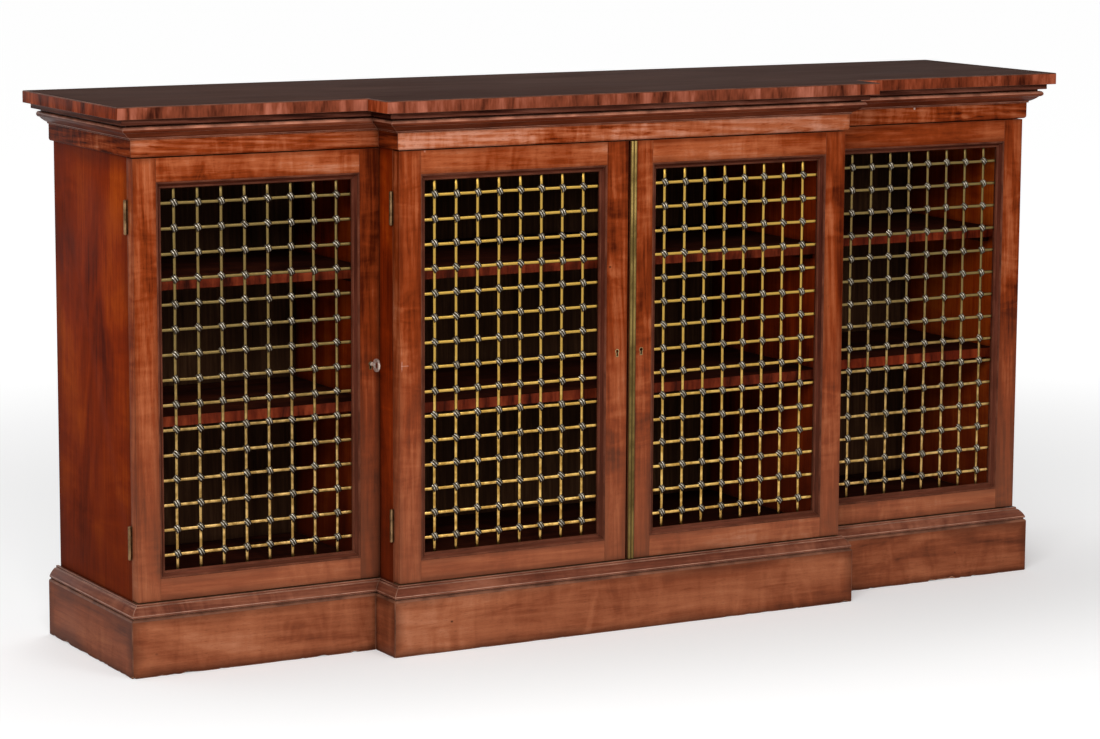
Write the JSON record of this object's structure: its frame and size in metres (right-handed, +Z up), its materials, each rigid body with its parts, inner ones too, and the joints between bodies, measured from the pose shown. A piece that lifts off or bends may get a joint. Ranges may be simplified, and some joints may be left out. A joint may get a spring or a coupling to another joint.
{
  "type": "breakfront side cabinet",
  "caption": "Breakfront side cabinet on a plinth: a forward centre between two wings, with framed doors filled by a brass lattice, inner shelves, locks and a key.",
  "frame": {"origin": "on the floor, in the middle of the cabinet's box", "axes": "+X to the right along the front, +Y to the back, +Z up"},
  "size_m": [2.133, 0.558, 1.075],
  "materials": {
    "mahogany": "waxed",
    "top_wood": "worn wax",
    "carcass_wood": "waxed",
    "pine": "unfinished",
    "ebonised_wood": "waxed",
    "brass": "tarnished",
    "tie_metal": "silvered",
    "steel": "worn"
  },
  "bodies": {
    "carcass": {"top_board": "top_wood", "top_lining": "carcass_wood", "cornice_moulding": "mahogany", "frieze_boards": "mahogany", "carcass_rails": "pine", "base_moulding": "mahogany", "plinth_boards": "mahogany", "plinth_bracing": "pine", "end_panel_left": "carcass_wood", "end_panel_right": "carcass_wood", "partition_left": "carcass_wood", "partition_right": "carcass_wood", "strike_plates": "brass", "carcass_bottoms": "carcass_wood", "carcass_tops": "carcass_wood", "back_boards": "pine", "shelf_bearers": "carcass_wood", "hinge_leaves": "brass", "hinge_pins": "brass", "shelf_left_wing_lower": "carcass_wood", "shelf_left_wing_upper": "carcass_wood", "shelf_centre_lower": "carcass_wood", "shelf_centre_upper": "carcass_wood", "shelf_right_wing_lower": "carcass_wood", "shelf_right_wing_upper": "carcass_wood"},
    "left_wing_door": {"left_wing_door_frame": "mahogany", "left_wing_sight_moulding": "ebonised_wood", "left_wing_lattice_bars": "brass", "left_wing_lattice_ties": "tie_metal", "left_wing_lattice_bead": "ebonised_wood", "left_wing_hinge_leaves": "brass", "left_wing_door_fittings": "brass"},
    "centre_left_door": {"centre_left_door_frame": "mahogany", "centre_left_sight_moulding": "ebonised_wood", "centre_left_lattice_bars": "brass", "centre_left_lattice_ties": "tie_metal", "centre_left_lattice_bead": "ebonised_wood", "centre_left_hinge_leaves": "brass", "centre_left_door_fittings": "brass"},
    "centre_right_door": {"centre_right_door_frame": "mahogany", "centre_right_sight_moulding": "ebonised_wood", "centre_right_lattice_bars": "brass", "centre_right_lattice_ties": "tie_metal", "centre_right_lattice_bead": "ebonised_wood", "centre_right_hinge_leaves": "brass", "centre_right_door_fittings": "brass", "astragal": "brass"},
    "right_wing_door": {"right_wing_door_frame": "mahogany", "right_wing_sight_moulding": "ebonised_wood", "right_wing_lattice_bars": "brass", "right_wing_lattice_ties": "tie_metal", "right_wing_lattice_bead": "ebonised_wood", "right_wing_hinge_leaves": "brass", "right_wing_door_fittings": "brass"},
    "left_wing_lock_bolt": {"left_wing_lock_bolt": "brass"},
    "centre_right_lock_bolt": {"centre_right_lock_bolt": "brass"},
    "right_wing_lock_bolt": {"right_wing_lock_bolt": "brass"},
    "key": {"key": "steel"},
    "slip_bolt_top": {"slip_bolt_top": "brass"},
    "slip_bolt_bottom": {"slip_bolt_bottom": "brass"}
  },
  "joints": [
    {"name": "left_wing_door_hinge", "type": "hinge", "parent": "carcass", "child": "left_wing_door", "pos_m": [-1.0205, -0.1196, 0.5575], "axis": [0, 0, -1], "range_deg": [0, 170]},
    {"name": "centre_left_door_hinge", "type": "hinge", "parent": "carcass", "child": "centre_left_door", "pos_m": [-0.512, -0.2016, 0.5575], "axis": [0, 0, -1], "range_deg": [0, 125]},
    {"name": "centre_right_door_hinge", "type": "hinge", "parent": "carcass", "child": "centre_right_door", "pos_m": [0.512, -0.2016, 0.5575], "axis": [0, 0, 1], "range_deg": [0, 170]},
    {"name": "right_wing_door_hinge", "type": "hinge", "parent": "carcass", "child": "right_wing_door", "pos_m": [1.0205, -0.1196, 0.5575], "axis": [0, 0, 1], "range_deg": [0, 170]},
    {"name": "left_wing_bolt_throw", "type": "slide", "parent": "left_wing_door", "child": "left_wing_lock_bolt", "axis": [1, 0, 0], "range_m": [0, 0.009]},
    {"name": "centre_right_bolt_throw", "type": "slide", "parent": "centre_right_door", "child": "centre_right_lock_bolt", "axis": [-1, 0, 0], "range_m": [0, 0.009]},
    {"name": "right_wing_bolt_throw", "type": "slide", "parent": "right_wing_door", "child": "right_wing_lock_bolt", "axis": [-1, 0, 0], "range_m": [0, 0.009]},
    {"name": "key_turn", "type": "hinge", "parent": "left_wing_door", "child": "key", "pos_m": [-0.5285, -0.147, 0.56], "axis": [0, 1, 0], "range_deg": [0, 180]},
    {"name": "slip_bolt_top_slide", "type": "slide", "parent": "centre_left_door", "child": "slip_bolt_top", "axis": [0, 0, 1], "range_m": [0, 0.012]},
    {"name": "slip_bolt_bottom_slide", "type": "slide", "parent": "centre_left_door", "child": "slip_bolt_bottom", "axis": [0, 0, -1], "range_m": [0, 0.012]}
  ],
  "couplings": [
    {"joint": "left_wing_bolt_throw", "follows": "key_turn", "m_per_rad": 0.0028647}
  ]
}
